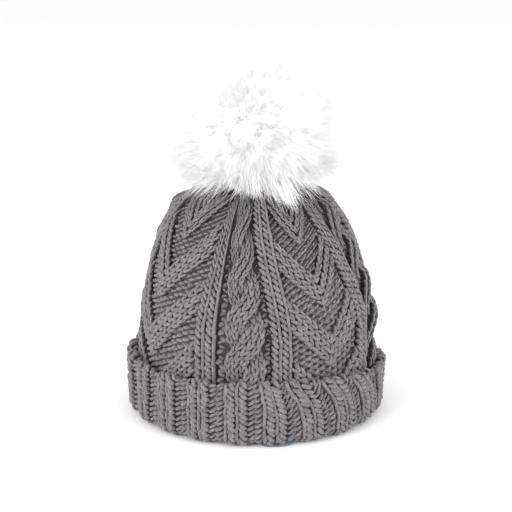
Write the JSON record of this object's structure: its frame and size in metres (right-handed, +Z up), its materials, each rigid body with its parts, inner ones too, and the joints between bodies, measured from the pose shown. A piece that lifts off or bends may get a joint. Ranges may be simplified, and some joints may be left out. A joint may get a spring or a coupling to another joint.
{
  "type": "pom pom beanie",
  "caption": "Cable-knit winter hat with a turned-up ribbed cuff, a fleece lining and a fluffy faux fur pompom that snaps off and turns.",
  "frame": {"origin": "centre of the rim, on the surface that the hat stands on", "axes": "+Z up through the crown and the pompom, -Y to the front of the hat, +X to the viewer's right when it is seen from the front"},
  "size_m": [0.21, 0.21, 0.278],
  "materials": {
    "knit": "matte chunky acrylic yarn, brushed with short fuzz",
    "yarn": "matte plied yarn",
    "fleece": "matte brushed fleece",
    "band_fleece": "matte brushed fleece with a soft pile",
    "thread": "satin polyester thread",
    "felt": "matte pressed felt",
    "snap_steel": "bright nickel plate",
    "spring_wire": "drawn wire",
    "label": "satin woven tape",
    "draw_thread": "waxed thread",
    "backing": "matte jersey knit",
    "filling": "loose polyester fibre",
    "fur": "soft long faux fur pile"
  },
  "bodies": {
    "hat": {"knit_crown": "knit", "knit_cuff": "knit", "lining_gore_front": "fleece", "lining_gore_right": "fleece", "lining_gore_back": "fleece", "lining_gore_left": "fleece", "ear_band": "band_fleece", "hem_thread": "thread", "band_stitches": "thread", "back_seam": "yarn", "cuff_tacks": "yarn", "gather_yarn": "yarn", "crown_patch": "felt", "snap_stud": "snap_steel", "stud_cap": "snap_steel", "label_seam": "label"},
    "label": {"care_label": "label"},
    "spring_ring": {"snap_spring": "spring_wire"},
    "pompom": {"snap_socket": "snap_steel", "socket_cap": "snap_steel", "base_disc": "felt", "draw_thread": "draw_thread", "fur_backing": "backing", "stuffing": "filling", "fur_pile": "fur"}
  },
  "joints": [
    {"name": "pompom_unsnap", "type": "slide", "parent": "hat", "child": "spring_ring", "axis": [0, 0, 1], "range_m": [0, 0.05]},
    {"name": "pompom_spin", "type": "hinge", "parent": "spring_ring", "child": "pompom", "pos_m": [0, 0, 0.1905], "axis": [0, 0, 1], "continuous": true},
    {"name": "label_flip", "type": "hinge", "parent": "hat", "child": "label", "pos_m": [0, 0.0847, 0.0795], "axis": [-1, 0, 0], "range_deg": [0, 110]}
  ]
}
